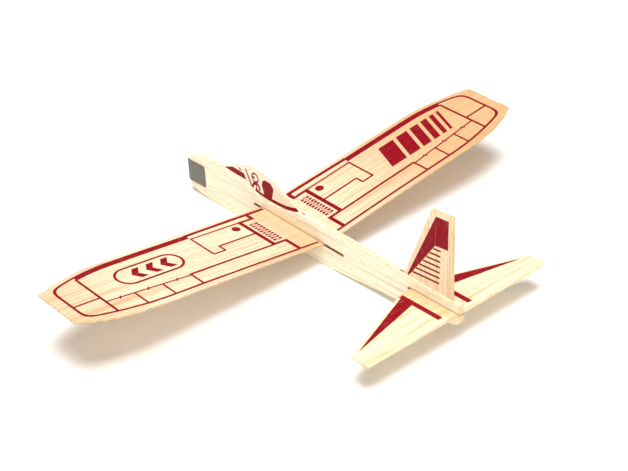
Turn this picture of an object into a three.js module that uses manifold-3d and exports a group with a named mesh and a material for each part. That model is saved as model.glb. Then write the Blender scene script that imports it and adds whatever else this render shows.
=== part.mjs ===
// Balsa hand glider: a slotted stick fuselage, a one-piece wing that slides in its slot, a flat stabilizer,
// a fin, a canopy sheet and a bent metal nose clip.
// Millimetres. +X to the nose, +Y to the port wing tip, +Z up. The origin is on the surface that the glider
// stands on, under the middle of its length, in the centre plane of the fuselage.
import * as THREE from 'three';
import { mergeVertices } from 'three/addons/utils/BufferGeometryUtils.js';
import Module from 'manifold-3d';

// ---------------------------------------------------------------------------------- driving dimensions
const NOSE_X = 106.8; // front face of the fuselage
const TAIL_X = -107.4; // rear face of the fuselage
const STICK_WIDTH = 4.4; // thickness of the fuselage stick
const STICK_DEPTH = 25.4; // deepest section of the stick, one inch
const SHEET = 1.0; // thickness of the wing, stabilizer, fin and canopy sheets
const CLEARANCE = 0.3; // gap left between a sheet and each side of its slot

const KEEL_X = [-13, 80]; // rear and front ends of the flat keel
const NOSE_TOP_Z = 21.4; // height of the nose's top front corner
const NOSE_BOTTOM_Z = 4.8;
const TOP_FRONT_X = 86; // the stick is at its full depth here
const SILL_X = [12, 56]; // the top edge dips to the cockpit sill between these
const SILL_REAR_Z = 23.6; // height of the top edge behind the sill
const SILL_FRONT_Z = 24.3; // and in front of it
const SILL_Z = 20.4; // height of the sill
const SILL_LOWEST_X = 32;
const TAIL_TOP_Z = 20.8; // height of the stick's top edge at the tail
const TAIL_BOTTOM_Z = 9.9; // height of the lower corner at the tail
const TAIL_TAPER_Z = 7.2; // height of the straight lower taper where it starts to turn up
const TAIL_TURN = 9; // length of that turn

const HALF_SPAN = 152.4; // wing, 12 in over both tips
const WING_LEADING_X = 42.6;
const WING_TRAILING_X = -8.8;
const WING_TIP_LEADING_X = 33.5; // corners of the straight tip edge
const WING_TIP_TRAILING_X = 1.6;
const WING_STRAIGHT_LEADING = 106; // half-span over which the leading edge is straight
const WING_STRAIGHT_TRAILING = 110;
const WING_TIP_TURN_LEADING = 128; // where the edge's line meets the tangent from the tip's corner
const WING_TIP_TURN_TRAILING = 136;
const WING_SLOT_X = [-24.3, 48.9]; // rear and front ends of the wing slot
const WING_ROOT_Z = 13.6; // middle of the sheet in the slot, at WING_ROOT_X
const WING_ROOT_X = 14.5;
const WING_INCIDENCE = THREE.MathUtils.degToRad(1.54); // leading edge up
const DIHEDRAL = THREE.MathUtils.degToRad(7.9);
const BEND_HALF_WIDTH = 5; // the sheet bends within this distance of the centre line
const TIP_DROOP = 1.7; // how far the tips curve below the straight dihedral line

const TAIL_HALF_SPAN = 62.8; // stabilizer
const TAIL_LEADING_X = -74.1;
const TAIL_TIP_LEADING_X = -95.1;
const TAIL_ROOT_HALF_WIDTH = 9; // the leading edge is square across the fuselage this far out
const TAIL_SLOT_X = -72.3; // front end of the slot; its rear end is open
const TAIL_Z = 15.2;

const FIN_SLOT_X = [-102.9, -64.1];
const FIN_FOOT_Z = 17.2; // lowest edge of the fin, in its slot
const FIN_ROOT_X = [-102.2, -67.6];
const FIN_ROOT_Z = 21; // the edges of the fin start to slope here
const FIN_TIP_X = [-103.4, -88.2];
const FIN_TIP_Z = [69.2, 68.1]; // height of the tip's rear and front corners

const CANOPY_SLOT_X = [7.3, 80.5];
const CANOPY_FOOT_Z = 16.8;
const CANOPY_X = [11, 79.2];
const CANOPY_REAR_Z = 23.4; // heights of the hood where its outline meets the stick
const CANOPY_FRONT_Z = 25.2;
const CANOPY_SHOULDER_X = [35.7, 56.1]; // the crown of the hood lies between these
const CANOPY_SHOULDER_Z = 34.9;
const CANOPY_CROWN = 1.75; // how far the crown's curve is drawn above the shoulders

const CLIP_REAR_X = 92.0;
const CLIP_WALL = 0.4;
const CLIP_Z = [7.3, 20.5];
const CLIP_GAP = 0.2; // between the clip and the wood
const CLIP_CORNER = [0.8, 1.6]; // radius of the clip's lower and upper rear corners
const CLIP_BEND = 0.9; // outer radius of its two front bends

// ---------------------------------------------------------------------------------- solid helpers
const wasm = await Module();
wasm.setup();

/** A closed three.js geometry as a manifold solid. */
function toSolid(geometry) {
  const bare = geometry.clone();
  bare.deleteAttribute('normal');
  bare.deleteAttribute('uv');
  const merged = mergeVertices(bare, 1e-4);
  return new wasm.Manifold(new wasm.Mesh({
    numProp: 3,
    vertProperties: new Float32Array(merged.attributes.position.array),
    triVerts: new Uint32Array(merged.index.array),
  }));
}

/** A manifold solid as a three.js geometry. */
function toGeometry(solid) {
  const mesh = solid.getMesh();
  const geometry = new THREE.BufferGeometry();
  geometry.setAttribute('position', new THREE.BufferAttribute(new Float32Array(mesh.vertProperties), 3));
  geometry.setIndex(new THREE.BufferAttribute(new Uint32Array(mesh.triVerts), 1));
  geometry.computeVertexNormals();
  return geometry;
}

/** Side outline (x, z) given a thickness across Y, centred on the centre plane. */
function sideways(shape, thickness, curveSegments = 12) {
  const geometry = new THREE.ExtrudeGeometry(shape, { depth: thickness, bevelEnabled: false, curveSegments });
  geometry.translate(0, 0, -thickness / 2);
  geometry.rotateX(Math.PI / 2);
  return geometry;
}

/** Plan outline (x, y) given a thickness along Z, centred on z = 0. */
function flat(shape, thickness, curveSegments = 12) {
  const geometry = new THREE.ExtrudeGeometry(shape, { depth: thickness, bevelEnabled: false, curveSegments });
  geometry.translate(0, 0, -thickness / 2);
  return geometry;
}

/** A block between two x, two z and a width across the centre plane. */
function slotCutter([x0, x1], [z0, z1], width) {
  const block = new THREE.BoxGeometry(x1 - x0, width, z1 - z0);
  block.translate((x0 + x1) / 2, 0, (z0 + z1) / 2);
  return block;
}

/** A named mesh in its own material. */
function piece(name, geometry, color, roughness, metalness = 0) {
  const mesh = new THREE.Mesh(geometry, new THREE.MeshStandardMaterial({ color, roughness, metalness }));
  mesh.name = name;
  return mesh;
}

// ---------------------------------------------------------------------------------- fuselage
/** Side outline of the stick, from the keel round the tail, along the top and down the nose. */
function fuselageOutline() {
  const slotLow = TAIL_Z - SHEET / 2 - CLEARANCE;
  const slotHigh = TAIL_Z + SHEET / 2 + CLEARANCE;
  const tailCorner = 1.5;
  const [sillRear, sillFront] = SILL_X;
  const shape = new THREE.Shape();
  shape.moveTo(KEEL_X[1], 0);
  shape.lineTo(KEEL_X[0], 0);
  shape.lineTo(TAIL_X + TAIL_TURN, TAIL_TAPER_Z);
  shape.quadraticCurveTo(TAIL_X + TAIL_TURN / 3, TAIL_TAPER_Z + 0.6, TAIL_X, TAIL_BOTTOM_Z);
  shape.lineTo(TAIL_X, slotLow);
  shape.lineTo(TAIL_SLOT_X, slotLow);
  shape.lineTo(TAIL_SLOT_X, slotHigh);
  shape.lineTo(TAIL_X, slotHigh);
  shape.lineTo(TAIL_X, TAIL_TOP_Z - tailCorner);
  shape.quadraticCurveTo(TAIL_X, TAIL_TOP_Z, TAIL_X + tailCorner, TAIL_TOP_Z);
  shape.lineTo(sillRear, SILL_REAR_Z);
  shape.bezierCurveTo(sillRear + 7, SILL_Z + 0.4, SILL_LOWEST_X - 7, SILL_Z, SILL_LOWEST_X, SILL_Z);
  shape.bezierCurveTo(SILL_LOWEST_X + 10, SILL_Z, sillFront - 8, SILL_Z + 1, sillFront, SILL_FRONT_Z);
  shape.lineTo(TOP_FRONT_X, STICK_DEPTH);
  shape.quadraticCurveTo(NOSE_X - 4, STICK_DEPTH, NOSE_X, NOSE_TOP_Z);
  shape.lineTo(NOSE_X, NOSE_BOTTOM_Z);
  shape.quadraticCurveTo(NOSE_X - 3, NOSE_BOTTOM_Z / 10, KEEL_X[1], 0);
  return shape;
}

/** The slot that the wing slides in, along the wing's chord line. */
function wingSlotCutter() {
  const rise = bendRise(STICK_WIDTH / 2);
  const height = SHEET + rise + 2 * CLEARANCE;
  const [rear, front] = WING_SLOT_X.map((x) => (x - WING_ROOT_X) / Math.cos(WING_INCIDENCE));
  const radius = height / 2;
  const shape = new THREE.Shape();
  shape.moveTo(rear + radius, -radius);
  shape.lineTo(front - radius, -radius);
  shape.absarc(front - radius, 0, radius, -Math.PI / 2, Math.PI / 2);
  shape.lineTo(rear + radius, radius);
  shape.absarc(rear + radius, 0, radius, Math.PI / 2, 1.5 * Math.PI);
  const cutter = sideways(shape, 3 * STICK_WIDTH, 4);
  cutter.rotateY(-WING_INCIDENCE);
  cutter.translate(WING_ROOT_X, 0, WING_ROOT_Z + rise / 2);
  return cutter;
}

/** The stick with its wing, fin and canopy slots cut. */
function fuselage() {
  const width = SHEET + 2 * CLEARANCE;
  const finSlot = slotCutter(FIN_SLOT_X, [FIN_FOOT_Z - CLEARANCE, 2 * STICK_DEPTH], width);
  const canopySlot = slotCutter(CANOPY_SLOT_X, [CANOPY_FOOT_Z - CLEARANCE, 2 * STICK_DEPTH], width);
  const solid = toSolid(sideways(fuselageOutline(), STICK_WIDTH))
    .subtract(toSolid(wingSlotCutter()))
    .subtract(toSolid(finSlot))
    .subtract(toSolid(canopySlot));
  return piece('fuselage', toGeometry(solid), 0xf3e0bd, 0.8);
}

// ---------------------------------------------------------------------------------- wing
/** Height that the bend gives the sheet at a distance from the centre line. */
function bendRise(distance) {
  const slope = Math.tan(DIHEDRAL);
  if (distance < BEND_HALF_WIDTH) {
    return (slope * distance * distance) / (2 * BEND_HALF_WIDTH);
  }
  const outboard = distance - BEND_HALF_WIDTH;
  const droop = TIP_DROOP * (outboard / (HALF_SPAN - BEND_HALF_WIDTH)) ** 2;
  return slope * (distance - BEND_HALF_WIDTH / 2) - droop;
}

/** Plan outline of the wing about the point where its slot is centred. */
function wingPlan() {
  const lead = WING_LEADING_X - WING_ROOT_X;
  const trail = WING_TRAILING_X - WING_ROOT_X;
  const tipLead = WING_TIP_LEADING_X - WING_ROOT_X;
  const tipTrail = WING_TIP_TRAILING_X - WING_ROOT_X;
  const shape = new THREE.Shape();
  shape.moveTo(trail, -WING_STRAIGHT_TRAILING);
  shape.lineTo(trail, WING_STRAIGHT_TRAILING);
  shape.quadraticCurveTo(trail, WING_TIP_TURN_TRAILING, tipTrail, HALF_SPAN);
  shape.lineTo(tipLead, HALF_SPAN);
  shape.quadraticCurveTo(lead, WING_TIP_TURN_LEADING, lead, WING_STRAIGHT_LEADING);
  shape.lineTo(lead, -WING_STRAIGHT_LEADING);
  shape.quadraticCurveTo(lead, -WING_TIP_TURN_LEADING, tipLead, -HALF_SPAN);
  shape.lineTo(tipTrail, -HALF_SPAN);
  shape.quadraticCurveTo(trail, -WING_TIP_TURN_TRAILING, trail, -WING_STRAIGHT_TRAILING);
  return shape;
}

/** The bent sheet seen from the front, as a band along the whole span. */
function wingBand() {
  const distances = [0, 0.25, 0.5, 0.75, 1].map((part) => part * BEND_HALF_WIDTH);
  const outboardSteps = 12;
  for (let step = 1; step <= outboardSteps; step += 1) {
    distances.push(BEND_HALF_WIDTH + ((HALF_SPAN + 1 - BEND_HALF_WIDTH) * step) / outboardSteps);
  }
  const right = distances.map((d) => new THREE.Vector2(d, bendRise(d)));
  const left = right.slice(1).reverse().map((p) => new THREE.Vector2(-p.x, p.y));
  const middle = [...left, ...right];
  const top = middle.map((p) => new THREE.Vector2(p.x, p.y + SHEET / 2));
  const bottom = middle.map((p) => new THREE.Vector2(p.x, p.y - SHEET / 2)).reverse();
  const chordRoom = 80;
  const band = new THREE.ExtrudeGeometry(new THREE.Shape([...bottom, ...top]), {
    depth: chordRoom,
    bevelEnabled: false,
  });
  // the profile's (y, z) and the extrusion's depth become the part's Y, Z and X
  band.translate(0, 0, -chordRoom / 2);
  band.rotateX(Math.PI / 2);
  band.rotateZ(Math.PI / 2);
  return band;
}

/** The one-piece wing, set at its incidence in the slot. */
function wing() {
  const solid = toSolid(wingBand()).intersect(toSolid(flat(wingPlan(), 4 * HALF_SPAN)));
  const mesh = piece('wing', toGeometry(solid), 0xe9cb9a, 0.75);
  mesh.position.set(WING_ROOT_X, 0, WING_ROOT_Z);
  mesh.rotation.y = -WING_INCIDENCE;
  return mesh;
}

// ---------------------------------------------------------------------------------- tail and canopy
/** The flat tailplane, its trailing edge flush with the tail. */
function stabilizer() {
  const shape = new THREE.Shape();
  shape.moveTo(TAIL_LEADING_X, -TAIL_ROOT_HALF_WIDTH);
  shape.lineTo(TAIL_LEADING_X, TAIL_ROOT_HALF_WIDTH);
  shape.lineTo(TAIL_TIP_LEADING_X, TAIL_HALF_SPAN);
  shape.lineTo(TAIL_X, TAIL_HALF_SPAN);
  shape.lineTo(TAIL_X, -TAIL_HALF_SPAN);
  shape.lineTo(TAIL_TIP_LEADING_X, -TAIL_HALF_SPAN);
  const mesh = piece('stabilizer', flat(shape, SHEET), 0xf5e6c4, 0.8);
  mesh.position.z = TAIL_Z;
  return mesh;
}

/** The fin: a swept blade above a foot that fills its slot. */
function fin() {
  const [rootRear, rootFront] = FIN_ROOT_X;
  const [tipRear, tipFront] = FIN_TIP_X;
  const tipCorner = 1.3;
  const shape = new THREE.Shape();
  shape.moveTo(rootFront, FIN_FOOT_Z);
  shape.lineTo(rootFront, FIN_ROOT_Z);
  shape.lineTo(tipFront + tipCorner / 3, FIN_TIP_Z[1] - tipCorner);
  shape.quadraticCurveTo(tipFront, FIN_TIP_Z[1], tipFront - tipCorner, FIN_TIP_Z[1]);
  shape.lineTo(tipRear, FIN_TIP_Z[0]);
  shape.lineTo(rootRear, FIN_ROOT_Z);
  shape.lineTo(rootRear, FIN_FOOT_Z);
  return piece('fin', sideways(shape, SHEET, 4), 0xf2e2c0, 0.8);
}

/** The canopy sheet: a hood profile above a foot that fills its slot. */
function canopy() {
  const [rear, front] = CANOPY_X;
  const [shoulderRear, shoulderFront] = CANOPY_SHOULDER_X;
  const shoulderZ = CANOPY_SHOULDER_Z;
  const crownZ = shoulderZ + CANOPY_CROWN;
  const shape = new THREE.Shape();
  shape.moveTo(rear, CANOPY_FOOT_Z);
  shape.lineTo(rear, CANOPY_REAR_Z);
  shape.bezierCurveTo(rear + 7, CANOPY_REAR_Z + 3.2, shoulderRear - 10, crownZ - 5, shoulderRear, shoulderZ);
  shape.bezierCurveTo(shoulderRear + 5, crownZ, shoulderFront - 7, crownZ, shoulderFront, shoulderZ);
  shape.bezierCurveTo(shoulderFront + 8, crownZ - 3.6, front - 7, CANOPY_FRONT_Z + 4, front, CANOPY_FRONT_Z);
  shape.lineTo(front, CANOPY_FOOT_Z);
  return piece('canopy', sideways(shape, SHEET, 8), 0xf6e8cb, 0.8);
}

// ---------------------------------------------------------------------------------- nose clip
/** Plan of the strip: a U round the nose with bent front corners. */
function clipPlan() {
  const inner = STICK_WIDTH / 2 + CLIP_GAP;
  const outer = inner + CLIP_WALL;
  const innerFront = NOSE_X + CLIP_GAP;
  const front = innerFront + CLIP_WALL;
  const shape = new THREE.Shape();
  shape.moveTo(CLIP_REAR_X, outer);
  shape.lineTo(CLIP_REAR_X, inner);
  shape.lineTo(innerFront, inner);
  shape.lineTo(innerFront, -inner);
  shape.lineTo(CLIP_REAR_X, -inner);
  shape.lineTo(CLIP_REAR_X, -outer);
  shape.lineTo(front - CLIP_BEND, -outer);
  shape.absarc(front - CLIP_BEND, CLIP_BEND - outer, CLIP_BEND, -Math.PI / 2, 0);
  shape.absarc(front - CLIP_BEND, outer - CLIP_BEND, CLIP_BEND, 0, Math.PI / 2);
  shape.lineTo(CLIP_REAR_X, outer);
  return shape;
}

/** Side outline of the strip, with its rear corners rounded. */
function clipSide() {
  const [low, high] = CLIP_Z;
  const [lowCorner, highCorner] = CLIP_CORNER;
  const pastTheNose = NOSE_X + STICK_WIDTH;
  const shape = new THREE.Shape();
  shape.moveTo(pastTheNose, low);
  shape.lineTo(pastTheNose, high);
  shape.lineTo(CLIP_REAR_X + highCorner, high);
  shape.absarc(CLIP_REAR_X + highCorner, high - highCorner, highCorner, Math.PI / 2, Math.PI);
  shape.lineTo(CLIP_REAR_X, low + lowCorner);
  shape.absarc(CLIP_REAR_X + lowCorner, low + lowCorner, lowCorner, Math.PI, 1.5 * Math.PI);
  return shape;
}

/** The nose ballast: one bent strip of sheet steel. */
function noseClip() {
  const tall = flat(clipPlan(), 4 * STICK_DEPTH, 5);
  const solid = toSolid(tall).intersect(toSolid(sideways(clipSide(), 4 * STICK_WIDTH, 6)));
  return piece('nose_clip', toGeometry(solid), 0x77736c, 0.45, 0.9);
}

// ---------------------------------------------------------------------------------- assembly
const glider = new THREE.Group();
glider.add(fuselage(), wing(), stabilizer(), fin(), canopy(), noseClip());

export default glider;
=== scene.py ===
"""A balsa hand glider on a pale floor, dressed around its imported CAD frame.

Every size below is in millimetres and becomes metres where a mesh is made. +X runs to the nose, +Y to the
port wing tip and +Z up; the keel stands on z = 0.
"""

from __future__ import annotations

import logging
import math
from dataclasses import dataclass, field
from enum import Enum
from functools import cache
from typing import Callable, Mapping, Optional, Sequence, Union

import bmesh
import bpy
import numpy as np
from mathutils import Matrix, Vector, geometry, noise

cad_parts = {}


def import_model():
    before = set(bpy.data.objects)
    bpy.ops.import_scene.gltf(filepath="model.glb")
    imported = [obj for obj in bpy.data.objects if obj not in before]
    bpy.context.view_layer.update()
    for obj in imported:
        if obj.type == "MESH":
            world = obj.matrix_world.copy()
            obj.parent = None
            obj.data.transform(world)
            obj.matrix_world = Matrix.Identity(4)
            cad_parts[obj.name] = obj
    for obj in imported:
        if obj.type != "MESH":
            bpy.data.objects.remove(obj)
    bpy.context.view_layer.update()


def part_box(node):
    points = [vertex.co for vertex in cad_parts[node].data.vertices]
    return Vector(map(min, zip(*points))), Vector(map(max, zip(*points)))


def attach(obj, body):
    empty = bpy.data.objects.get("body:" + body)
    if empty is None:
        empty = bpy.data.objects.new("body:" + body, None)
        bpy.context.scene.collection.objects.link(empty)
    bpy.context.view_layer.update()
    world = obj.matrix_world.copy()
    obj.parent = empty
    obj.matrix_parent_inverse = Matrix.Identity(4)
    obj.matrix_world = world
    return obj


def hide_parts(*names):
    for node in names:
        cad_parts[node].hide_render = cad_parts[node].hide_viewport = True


LOG = logging.getLogger("glider")
MM = 0.001
SHARP_ANGLE = 38.0

Point = tuple[float, float]
Colour = tuple[float, float, float]
Point3 = tuple[float, float, float]
Placing = Callable[[float, float, float], Vector]


# ---------------------------------------- node helpers
def math_method(operation: str, swapped: bool = False) -> Callable[["Value", "Number"], "Value"]:
    """Makes a method that adds a Math node on a value and another number.

    Args:
        operation: The node's operation.
        swapped: Whether the other number comes first.

    Returns:
        The method.
    """

    def method(value: "Value", other: "Number") -> "Value":
        """Adds the node."""
        return value.math(operation, *((other, value) if swapped else (value, other)))

    return method


class Value:
    """An output socket that takes part in Python expressions.

    Beside the usual operators, least and most give the lesser and the greater of two values, and folded
    folds a value to and fro between zero and a reach.
    """

    def __init__(self, graph: "Graph", socket: bpy.types.NodeSocket) -> None:
        """Wraps a socket.

        Args:
            graph: The graph that the socket belongs to.
            socket: The output socket.
        """
        self.graph = graph
        self.socket = socket

    def math(self, operation: str, *operands: "Number") -> "Value":
        """Adds a Math node on these operands."""
        return self.graph.node("ShaderNodeMath", {"operation": operation}, dict(enumerate(operands)))

    __add__ = __radd__ = math_method("ADD")
    __sub__ = math_method("SUBTRACT")
    __rsub__ = math_method("SUBTRACT", swapped=True)
    __mul__ = __rmul__ = math_method("MULTIPLY")
    __truediv__ = math_method("DIVIDE")
    __pow__ = math_method("POWER")
    __lt__ = math_method("LESS_THAN")
    __gt__ = math_method("GREATER_THAN")
    least = math_method("MINIMUM")
    most = math_method("MAXIMUM")
    folded = math_method("PINGPONG")

    def __abs__(self) -> "Value":
        """The size of this value, without its sign."""
        return self.math("ABSOLUTE", self)

    def blended_least(self, other: "Number", width: float) -> "Value":
        """The lesser of two values, rounded where they are within a width of each other."""
        return self.math("SMOOTH_MIN", self, other, width)

    def step(self, low: float, high: float) -> "Value":
        """A smooth step of this value from 0 at low to 1 at high."""
        settings = {"interpolation_type": "SMOOTHSTEP"}
        return self.graph.node("ShaderNodeMapRange", settings, {0: self, 1: low, 2: high, 3: 0.0, 4: 1.0})

    def output(self, name: str) -> "Value":
        """Another output of the node that this value comes from."""
        return Value(self.graph, self.socket.node.outputs[name])


Number = Union[Value, float]


class Graph:
    """A node tree, and the one place where its nodes are made."""

    # a Mix node lists sockets for every kind of data; these are the ones for colours
    MIX_FIRST, MIX_SECOND, MIX_RESULT = 6, 7, 2

    def __init__(self, tree: bpy.types.NodeTree) -> None:
        """Starts on an empty tree.

        Args:
            tree: A shader or geometry tree.
        """
        self.tree = tree
        self.tree.nodes.clear()

    def node(
        self,
        kind: str,
        settings: Optional[Mapping[str, object]] = None,
        inputs: Optional[Mapping[Union[str, int], object]] = None,
        output: Union[str, int] = 0,
    ) -> Value:
        """Makes a node, sets it up and joins its inputs.

        Args:
            kind: The node's type.
            settings: Properties to set before the sockets.
            inputs: A value or a link for each socket, by name or place.
            output: The output that the call stands for.

        Returns:
            The chosen output.
        """
        made = self.tree.nodes.new(kind)
        for name, setting in (settings or {}).items():
            setattr(made, name, setting)
        for key, given in (inputs or {}).items():
            if given is None:
                continue
            if isinstance(given, Value):
                self.tree.links.new(given.socket, made.inputs[key])
            else:
                made.inputs[key].default_value = given
        return Value(self, made.outputs[output] if len(made.outputs) else None)

    def vector(self, operation: str, *operands: object, output: Union[str, int] = 0) -> Value:
        """Adds a Vector Math node on these operands."""
        return self.node("ShaderNodeVectorMath", {"operation": operation}, dict(enumerate(operands)), output)

    def join(self, x: Number, y: Number, z: Number) -> Value:
        """A vector from three numbers."""
        return self.node("ShaderNodeCombineXYZ", None, {0: x, 1: y, 2: z})

    def split(self, vector: Value) -> tuple[Value, Value, Value]:
        """The three parts of a vector."""
        x = self.node("ShaderNodeSeparateXYZ", None, {0: vector})
        return x, x.output("Y"), x.output("Z")

    def scaled(self, vector: Value, factor: Number) -> Value:
        """A vector times a number."""
        return self.vector("SCALE", vector, None, None, factor)

    def noise(self, where: Value, detail: float = 2.0, roughness: float = 0.5) -> Value:
        """Smooth noise at a place that is already scaled, from about 0.2 to 0.8."""
        inputs = {"Vector": where, "Scale": 1.0, "Detail": detail, "Roughness": roughness}
        return self.node("ShaderNodeTexNoise", None, inputs)

    def mix_colours(self, share: Number, first: object, second: object) -> Value:
        """Goes from one colour to another.

        Args:
            share: The second colour's share, from 0 to 1.
            first: A colour, or a value that carries one.
            second: The other colour.

        Returns:
            The mixed colour.
        """
        colours = [(*c, 1.0) if isinstance(c, tuple) else c for c in (first, second)]
        inputs = {0: share, self.MIX_FIRST: colours[0], self.MIX_SECOND: colours[1]}
        return self.node("ShaderNodeMix", {"data_type": "RGBA"}, inputs, self.MIX_RESULT)


class Surface(Graph):
    """The graph of a new material."""

    def __init__(self, name: str) -> None:
        """Makes the material.

        Args:
            name: Its name.
        """
        self.material = bpy.data.materials.new(name)
        self.material.use_nodes = True
        super().__init__(self.material.node_tree)

    def place(self, per_metre: float = 1 / MM) -> Value:
        """The place on the piece, in millimetres unless another scale is given."""
        return self.scaled(self.node("ShaderNodeTexCoord", None, None, "Object"), per_metre)

    def rim(self) -> Value:
        """One at a piece's cut edge, and zero away from it."""
        return self.node("ShaderNodeAttribute", {"attribute_name": "rim"}, None, "Fac")

    def finish(
        self, inputs: Mapping[str, object], relief: Value, strength: float, depth: float
    ) -> bpy.types.Material:
        """Joins up the shader, with a bump.

        Args:
            inputs: The shader's inputs, all but its normal.
            relief: The bump's height.
            strength: The bump's strength.
            depth: How high one unit of relief stands, in millimetres.

        Returns:
            The material.
        """
        raised = {"Strength": strength, "Distance": depth * MM, "Height": relief}
        normal = self.node("ShaderNodeBump", None, raised)
        shader = self.node("ShaderNodeBsdfPrincipled", None, {**inputs, "Normal": normal})
        self.node("ShaderNodeOutputMaterial", None, {"Surface": shader})
        return self.material


# ---------------------------------------- printing
class Stencil:
    """Shapes on a flat face, each as a depth in millimetres that is positive inside the shape."""

    def __init__(self, graph: Graph, u: Value, v: Value) -> None:
        """Sets the stencil on a face.

        Args:
            graph: The material's graph.
            u: First coordinate on the face, in millimetres.
            v: Second coordinate.
        """
        self.graph = graph
        self.u = u
        self.v = v
        self.point = graph.join(u, v, 1.0)

    def convex(self, *corners: Point) -> Value:
        """The depth inside a convex outline.

        Args:
            corners: Its corners in order, either way round.

        Returns:
            The depth.
        """
        turn = sum(a[0] * b[1] - b[0] * a[1] for a, b in zip(corners, corners[1:] + corners[:1]))
        side = math.copysign(1.0, turn)
        depth: Optional[Value] = None
        for a, b in zip(corners, corners[1:] + corners[:1]):
            length = math.hypot(b[0] - a[0], b[1] - a[1])
            normal = (side * (a[1] - b[1]) / length, side * (b[0] - a[0]) / length)
            offset = -(normal[0] * a[0] + normal[1] * a[1])
            plane = self.graph.vector("DOT_PRODUCT", self.point, (*normal, offset), output="Value")
            depth = plane if depth is None else depth.least(plane)
        return depth

    def box(self, u0: float, u1: float, v0: float, v1: float) -> Value:
        """The depth inside an upright rectangle."""
        return self.convex((u0, v0), (u1, v0), (u1, v1), (u0, v1))

    def bar(self, start: Point, end: Point, width: float) -> Value:
        """The depth inside a straight bar with square ends.

        Args:
            start: The middle of one end.
            end: The middle of the other.
            width: The bar's width.

        Returns:
            The depth.
        """
        length = math.hypot(end[0] - start[0], end[1] - start[1])
        across = ((start[1] - end[1]) * width / 2 / length, (end[0] - start[0]) * width / 2 / length)
        return self.convex(
            (start[0] + across[0], start[1] + across[1]),
            (end[0] + across[0], end[1] + across[1]),
            (end[0] - across[0], end[1] - across[1]),
            (start[0] - across[0], start[1] - across[1]),
        )

    def distance(self, centre: Point, stretch: float = 1.0) -> Value:
        """The distance from a centre, with the second coordinate stretched."""
        u, v = self.u - centre[0], (self.v - centre[1]) * stretch
        return (u * u + v * v) ** 0.5

    def disc(self, centre: Point, radius: float) -> Value:
        """The depth inside a disc."""
        return radius - self.distance(centre)

    def ring(self, centre: Point, radius: float, width: float) -> Value:
        """The depth inside a ring of a line width."""
        return width / 2 - abs(self.distance(centre) - radius)

    def path(self, corners: Sequence[Point], width: float) -> Value:
        """The depth inside a line through several points, with round joints.

        Args:
            corners: The points that the line passes.
            width: Its width.

        Returns:
            The depth.
        """
        depths = [self.bar(a, b, width) for a, b in zip(corners, corners[1:])]
        depths += [self.disc(corner, width / 2) for corner in corners[1:-1]]
        return union(*depths)


def union(*depths: Value) -> Value:
    """Joins several shapes.

    Args:
        depths: The depth inside each of them.

    Returns:
        The depth inside any of them.
    """
    whole = depths[0]
    for depth in depths[1:]:
        whole = whole.most(depth)
    return whole


class Faces(Enum):
    """The faces of a sheet that carry its print."""

    TOP = "top"
    SIDES = "sides"


@dataclass(frozen=True)
class Ink:
    """Crimson flexo ink that soaks into the wood, a little thin over its open pores."""

    colour: Colour = (0.25, 0.002, 0.010)
    dry_colour: Colour = (0.36, 0.009, 0.022)
    roughness: float = 0.42
    edge: float = 0.07
    edge_features: float = 3.2
    lost_in_pores: float = 0.15

    def coverage(self, graph: Graph, depth: Value, place: Value, pores: Value) -> Value:
        """How much ink lies on the wood.

        Args:
            graph: The material's graph.
            depth: The depth inside the printed shapes, in millimetres.
            place: The place on the piece, in millimetres.
            pores: One in the wood's open pores.

        Returns:
            One where the ink is full, and zero off it.
        """
        wander = (graph.noise(graph.scaled(place, self.edge_features), 3.0) - 0.5) * (4 * self.edge)
        return (depth + wander).step(-self.edge, self.edge) * (1.0 - pores * self.lost_in_pores)


# ---------------------------------------- finishes
class Grain(Enum):
    """The axis that the wood's grain runs along."""

    LENGTH = 0
    SPAN = 1
    HEIGHT = 2


@dataclass(frozen=True)
class Figure:
    """One layer of the wood's figure: noise drawn out along the grain.

    across and along give the size of a feature in millimetres, and shift sets this layer off from the others.
    """

    across: float
    along: float
    shift: float
    detail: float = 2.0
    roughness: float = 0.5


RAYS = Figure(26.0, 60.0, 3.0, detail=1.0)
BROAD = Figure(7.5, 170.0, 11.0)
LINES = Figure(0.8, 95.0, 23.0, detail=3.0, roughness=0.6)
FINE = Figure(0.34, 22.0, 41.0)
VESSELS = Figure(0.30, 5.0, 67.0, detail=1.0)
FLECKS = Figure(1.3, 2.2, 83.0)


@dataclass(frozen=True)
class Place:
    """A place on a piece, in millimetres: x to the nose, y to port and z up."""

    graph: Graph
    x: Value
    y: Value
    z: Value


Pattern = Callable[[Place], Value]


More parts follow.
